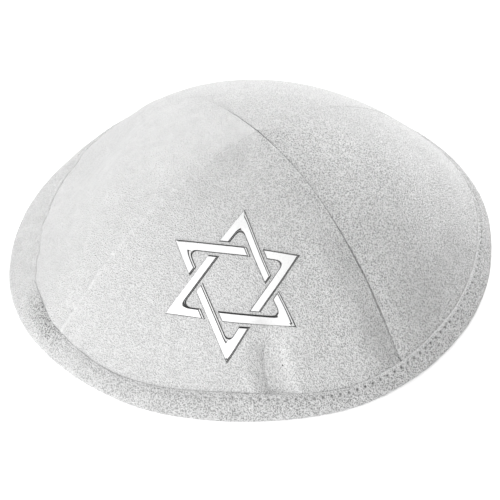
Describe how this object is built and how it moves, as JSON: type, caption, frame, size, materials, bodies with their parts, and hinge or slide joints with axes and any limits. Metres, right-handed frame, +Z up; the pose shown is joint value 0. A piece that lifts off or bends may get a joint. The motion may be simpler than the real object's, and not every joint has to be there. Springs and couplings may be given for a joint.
{
  "type": "kippah skullcap",
  "caption": "Shallow suede skullcap of sewn gores with a folded rim binding and a raised interlaced star on the front.",
  "frame": {"origin": "centre of the rim's outline on the floor plane that the rim rests on", "axes": "+Z up through the crown, -Y out through the front panel that carries the star, +X to that panel's right as it is seen from the front"},
  "size_m": [0.1694, 0.1691, 0.0535],
  "materials": {
    "suede": "matte suede nap",
    "binding_suede": "matte suede nap, coarser",
    "silver_foil": "bright silver"
  },
  "bodies": {
    "root": {"front_panel": "suede", "right_panel": "suede", "back_panel": "suede", "left_panel": "suede", "rim_binding": "binding_suede", "star_point_1": "silver_foil", "star_point_2": "silver_foil", "star_point_3": "silver_foil", "star_point_4": "silver_foil", "star_point_5": "silver_foil", "star_point_6": "silver_foil"}
  },
  "joints": []
}
